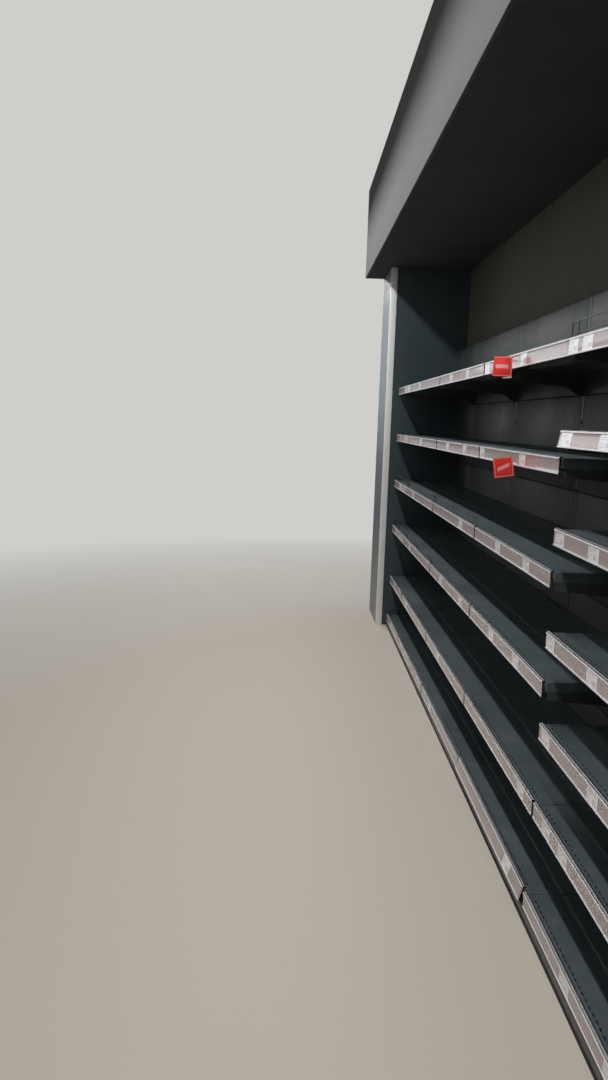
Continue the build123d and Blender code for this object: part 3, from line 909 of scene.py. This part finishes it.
# Tickets behind the covers: where they hang on each level, in metres along X, and a few more by chance
ticket = {"width": 0.074, "wide": 0.09, "wideLevel": 1.475, "height": 0.0365, "paper": 0.0003,
          "belly": 0.0004, "steps": 3, "clear": 0.0001, "margin": 0.02, "step": (0.3, 0.46), "lean": 0.8,
          "edge": 0.042, "drawnAfter": 4, "seed": 11}
ticketPlaces = {
    1.725: [-2.45, -2.318, -1.856, -0.869, -0.493, -0.125, 0.388, 0.884, 0.992],
    1.475: [0.895, 1.188],
    1.4: [-1.705, -0.861, -0.464, -0.125, 0.452],
    1.2: [0.887, 1.148],
    1.075: [-0.457, 0.213, 0.579],
    0.9: [0.875, 1.205],
    0.75: [-0.847, -0.37, 0.203, 0.538],
    0.625: [0.895, 1.272],
    0.375: [0.694, 0.96, 1.105],
    0.088: [0.645, 1.218],
}
draw = random.Random(ticket["seed"])


def modelTicket(width):
    y = railFront + rail["face"] - ticket["paper"] - ticket["clear"]
    low = rail["toe"] - rail["height"] + ticket["clear"]
    line = bellied(y, low, ticket["height"], ticket["belly"], ticket["steps"])
    piece = foldedSheet("ticket", -width / 2, width / 2, line, ticket["paper"], 0)
    margin = ticket["margin"]
    mapped(piece, "ticket", lambda at: (margin + (1 - 2 * margin) * (at.x / width + 0.5),
                                        (at.z - low) / ticket["height"]))
    return piece


tickets = {width: modelTicket(width) for width in (ticket["width"], ticket["wide"])}
cards = []
for number, (axis, bay) in enumerate(zip(axes, bays), 1):
    end = axis + bay["width"] - ticket["edge"]
    for level in bay["levels"]:
        places = [x for x in ticketPlaces[level] if axis < x < end]
        x = max([axis - 0.1] + places) + draw.uniform(*ticket["step"])
        # the first bays draw one ticket, where none is placed, and the others are filled up
        while x < end and (number > ticket["drawnAfter"] or not places):
            places.append(x)
            x += draw.uniform(*ticket["step"])
        for x in places:
            width = ticket["wide" if level == ticket["wideLevel"] else "width"]
            card = copied(tickets[width], x, 0, level)
            middle = Matrix.Translation((x, railFront, level - rail["height"] / 2))
            tilt = Matrix.Rotation(math.radians(draw.uniform(-1, 1) * ticket["lean"]), 4, "Y")
            card.data.transform(middle @ tilt @ middle.inverted())
            for corner in card.data.uv_layers["ticket"].data:
                corner.uv.x += len(cards)
            cards.append(seated(card, number, level))
print(len(cards), "tickets")
dress(joined("shelfTickets", cards), "ticket", "cover_plastic")
dropped(*tickets.values())

# Wire fences: one bent wire round, a wire along the foot, short posts between
fence = {"wire": 0.0015, "thin": 0.9, "corner": 0.004, "inset": 0.001, "low": 0.04, "high": 0.045,
         "lift": 0.0115, "post": 0.054}
fenceY = railFront + (rail["ribs"][-1] + rail["channel"]) / 2


def modelFence(width, height):
    x0, x1 = endGap + fence["inset"] + fence["wire"], width - endGap - fence["inset"] - fence["wire"]
    high, bend, thin = height - fence["wire"], fence["corner"], fence["wire"] * fence["thin"]
    parts = [startWire(fence["wire"], (x0, fenceY, 0))]
    extrudeBy(0, 0, high - bend)
    turnBy(90, (x0 + bend, fenceY, high - bend), (0, 1, 0))
    extrudeBy(x1 - x0 - 2 * bend, 0, 0)
    turnBy(90, (x1 - bend, fenceY, high - bend), (0, 1, 0))
    extrudeBy(0, 0, -(high - bend))
    endEdit()
    parts.append(startWire(thin, (x0, fenceY, fence["lift"]), True))
    extrudeBy(x1 - x0, 0, 0)
    endEdit()
    for x in (x0 + fence["post"], (x0 + x1) / 2, x1 - fence["post"]):
        parts.append(startWire(thin, (x, fenceY, 0)))
        extrudeBy(0, 0, high)
        endEdit()
    return tidied(joined("fence", parts), 50)


fences = []
for number, level, height in [(0, 0.75, "low"), (0, 1.075, "low"), (1, 0.75, "low"), (1, 1.075, "low"),
                              (2, 1.075, "low"), (4, 1.725, "high"), (5, 1.725, "high")]:
    made = modelFence(bays[number]["width"], fence[height])
    fences.append(copied(made, axes[number], 0, level - railRise))
    dropped(made)
dress(joined("wireFences", fences), "fence", "fence_wire", "wire_fences")
print("tickets and fences modelled")

# Levelling glides: a dished foot, a lock nut and a stem
glide = {"foot": 0.02, "footHeight": 0.006, "rim": 0.35, "edge": 0.0006, "stem": 0.0055, "nut": 0.009,
         "nutHeight": 0.005, "nutDrop": 0.008, "nutEdge": 0.0007, "nutFrom": 0.02,
         "rear": 0.01, "front": 0.0515, "rearIn": 0.03, "frontIn": 0.045}


def modelGlide(top):
    # the foot's lower half stands straight, and its upper half slopes in
    halfFoot = glide["footHeight"] / 2
    foot = addRound("glide", glide["foot"], (0, 0, 0), halfFoot, 24)
    startEdit(foot)
    pick(lambda at, way: way.z > 0.5)
    bpy.ops.mesh.inset(thickness=glide["foot"] * glide["rim"], depth=0)
    bpy.ops.transform.translate(value=(0, 0, halfFoot))
    bpy.ops.mesh.inset(thickness=glide["foot"] * (1 - glide["rim"]) - glide["stem"], depth=0)
    extrudeBy(0, 0, top - glide["footHeight"])
    endEdit()
    rounded(foot, glide["edge"], 2, 40)
    parts = [foot]
    if top > glide["nutFrom"]:
        nut = addRound("nut", glide["nut"], (0, 0, top - glide["nutDrop"]), glide["nutHeight"], 6)
        parts.append(rounded(nut, glide["nutEdge"], 2, 20))
    return smoothed(joined("glide", parts), 30)


rear, front = modelGlide(glide["rear"]), modelGlide(glide["front"])
glides = []
for axis in axes:
    glides.append(copied(rear, axis, uprightHigh.y - glide["rearIn"], 0))
    glides.append(copied(front, axis, kickHigh.y + glide["frontIn"], 0))
dropped(rear, front)
dress(joined("levellingGlides", glides), "glide", "glide_plastic", "levelling_glides")

# Flag cards: a thin card that a clear arm holds off the rail, the upper one with a white foot
flags = [
    {"name": "High", "x": 0.327, "y": -0.2481, "z": 1.6771, "lean": -0.6, "railTop": 1.725,
     "curl": (-0.022, 0.009)},
    {"name": "Low", "x": 0.372, "y": -0.233, "z": 1.3432, "lean": 8.5, "railTop": 1.4,
     "curl": (-0.004, 0.0)},
]
flag = {"side": 0.066, "card": 0.0006, "corner": 0.002, "cuts": 5, "cornerReach": 0.006, "curlReach": 0.9,
        "armWidth": 0.009, "arm": 0.0012, "armFrom": 0.4, "armDrop": 0.004, "armSink": 0.0004,
        "armEdge": 0.0004, "footHigh": 0.0045, "footGrip": 0.0006, "footWide": 0.006,
        "footLength": 0.03, "footTaper": 0.6, "footFall": 0.0045, "footEdge": 0.0008}


def modelFlagCard(one):
    half = flag["side"] / 2
    deselect()
    bpy.ops.mesh.primitive_plane_add(size=flag["side"], rotation=(math.pi / 2, 0, math.pi / 2))
    card = settle("flagCard" + one["name"])
    startEdit(card)
    pick(lambda at, way: True, "VERT")
    bpy.ops.mesh.bevel(offset=flag["corner"], segments=3, affect="VERTICES")
    for step in range(1, flag["cuts"]):
        place = -half + flag["side"] * step / flag["cuts"]
        for normal in ((0, 1, 0), (0, 0, 1)):
            bpy.ops.mesh.select_all(action="SELECT")
            bpy.ops.mesh.bisect(plane_co=[place * part for part in normal], plane_no=normal)
    # the free upper corner curls away
    pick(lambda at, way: (at - Vector((0, -half, half))).length < flag["cornerReach"], "VERT")
    bpy.ops.transform.translate(value=(*one["curl"], 0), use_proportional_edit=True,
                                proportional_edit_falloff="SMOOTH",
                                proportional_size=flag["side"] * flag["curlReach"])
    endEdit()
    walled(card, flag["card"])
    mapped(card, "card", lambda at: (at.y / flag["side"] + 0.5, at.z / flag["side"] + 0.5))
    card.data.transform(Matrix.Translation((one["x"], one["y"], one["z"]))
                        @ Matrix.Rotation(math.radians(one["lean"]), 4, "X"))
    return smoothed(card, 60)


def modelFlagArm(one):
    # a flat arm from the rail's face to the back of the card
    half = flag["armWidth"] / 2
    z = one["railTop"] - rail["height"] / 2 - flag["armDrop"]
    x = one["x"] - flag["card"] - flag["arm"]
    start = one["y"] + flag["side"] * flag["armFrom"]
    arm = addBox("flagArm" + one["name"], (x - flag["arm"] / 2, start, z - half),
                 (x + flag["arm"] / 2, railFront + flag["armSink"], z + half))
    startEdit(arm)
    pick(lambda at, way: way.y > 0.5)
    extrudeBy(0, -flag["arm"], 0)
    endEdit()
    return rounded(arm, flag["armEdge"], 2)


def modelFlagFoot(one):
    # a wedge that grips the card's lower edge, its free end a little lower
    low = one["z"] - flag["side"] / 2
    right = one["y"] + flag["side"] / 2
    wide = flag["footWide"] / 2
    free = right - flag["footLength"]
    foot = addBox("flagFoot" + one["name"], (one["x"] - wide, free, low - flag["footHigh"]),
                  (one["x"] + wide, right, low + flag["footGrip"]))
    startEdit(foot)
    pick(lambda at, way: at.y < free + 0.001, "VERT")
    bpy.ops.transform.resize(value=(flag["footTaper"], 1, flag["footTaper"]),
                             center_override=(one["x"], right, low))
    bpy.ops.transform.translate(value=(0, 0, -flag["footFall"]))
    endEdit()
    return smoothed(rounded(foot, flag["footEdge"], 3))


for one in flags:
    dress(modelFlagCard(one), "card")
dress(smoothed(joined("flagArms", [modelFlagArm(one) for one in flags])), "clear")
dress(modelFlagFoot(flags[0]), "clip")
print("glides and flags modelled")

# Camera and light
camera = {"place": (3.1675, -0.9465, 1.478), "pitch": 8.178, "yaw": 1.089, "roll": 1.897,
          "lens": 27.85, "sensor": 36}
pitch, yaw, roll = (math.radians(camera[turn]) for turn in ("pitch", "yaw", "roll"))
ahead = Vector((-math.cos(yaw) * math.cos(pitch), math.sin(yaw) * math.cos(pitch), -math.sin(pitch)))
level = Vector((math.sin(yaw), math.cos(yaw), 0))
above = level.cross(ahead)
right = math.cos(roll) * level + math.sin(roll) * above
up = math.cos(roll) * above - math.sin(roll) * level
view = bpy.data.cameras.new("photoView")
view.sensor_fit = "VERTICAL"
view.sensor_height = camera["sensor"]
view.lens = camera["lens"]
view.clip_start = 0.05
viewObject = bpy.data.objects.new("photoView", view)
bpy.context.scene.collection.objects.link(viewObject)
facing = Matrix((right, up, -ahead)).transposed().to_4x4()
viewObject.matrix_world = Matrix.Translation(camera["place"]) @ facing
bpy.context.scene.camera = viewObject

lamps = {
    "aisle": {"at": (-0.5, -0.965, 3.064), "size": (11.0, 0.08), "facing": (0, 0, -1), "power": 114,
              "spread": 176},
    "front": {"at": (0.5, -5.0, 3.6), "size": (7.0, 3.0), "facing": (0, 0.85, -0.5), "power": 44},
    "side": {"at": (-7.5, -3.5, 2.5), "size": (3.4, 1.6), "facing": (0.93, 0.36, -0.08), "power": 21,
             "tint": (0.97, 1.0, 1.04)},
    "sideFar": {"at": (-7.5, -1.2, 2.2), "size": (1.5, 2.2), "facing": (0.93, 0.36, -0.08), "power": 2.8,
                "tint": (0.97, 1.0, 1.04)},
    "rear": {"at": (0, 5.0, 3.6), "size": (7.0, 3.0), "facing": (0, -0.85, -0.5), "power": 110},
}
for name, lamp in lamps.items():
    data = bpy.data.lights.new(name, "AREA")
    data.shape = "RECTANGLE"
    data.size, data.size_y = lamp["size"]
    data.energy = lamp["power"]
    data.color = lamp.get("tint", (1, 1, 1))
    data.spread = math.radians(lamp.get("spread", 180))
    light = bpy.data.objects.new(name, data)
    bpy.context.scene.collection.objects.link(light)
    light.location = lamp["at"]
    light.rotation_euler = Vector(lamp["facing"]).to_track_quat("-Z", "Y").to_euler()
    light.visible_camera = False

stage = {"size": 60, "floor": srgb(207, 198, 185), "fade": (2.8, 7.5), "sky": srgb(207, 206, 202),
         "fill": (0.104, 0.104, 0.104, 1.0)}
deselect()
bpy.ops.mesh.primitive_plane_add(size=stage["size"], location=(0, 0, 0))
floor = settle("floor")
floorMaterial, floorTree, floorShader = newMaterial("floorSurface", Base_Color=stage["floor"],
                                                    Roughness=0.55)
# the floor fades out into the background
fromMiddle = node(floorTree, "VectorMath", {0: objectPoints(floorTree, (1, 1.2, 1))}, operation="LENGTH")
floorTree.links.new(remap(floorTree, fromMiddle.outputs["Value"], *stage["fade"], 1.0, 0.0),
                    floorShader.inputs["Alpha"])
floor.data.materials.append(floorMaterial)
floor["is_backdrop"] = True

world = bpy.data.worlds.new("studio")
bpy.context.scene.world = world
world.use_nodes = True
sky = world.node_tree
background = sky.nodes["Background"]
# only the camera sees the pale background, and all else gets the darker fill
seen = node(sky, "LightPath").outputs["Is Camera Ray"]
sky.links.new(mixed(sky, seen, stage["fill"], stage["sky"]), background.inputs["Color"])
background.inputs["Strength"].default_value = 1.0
bpy.context.scene.view_settings.view_transform = "Standard"
print("camera and light set")

low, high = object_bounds()
print("visual box", [round(v, 4) for v in (*low, *high)])
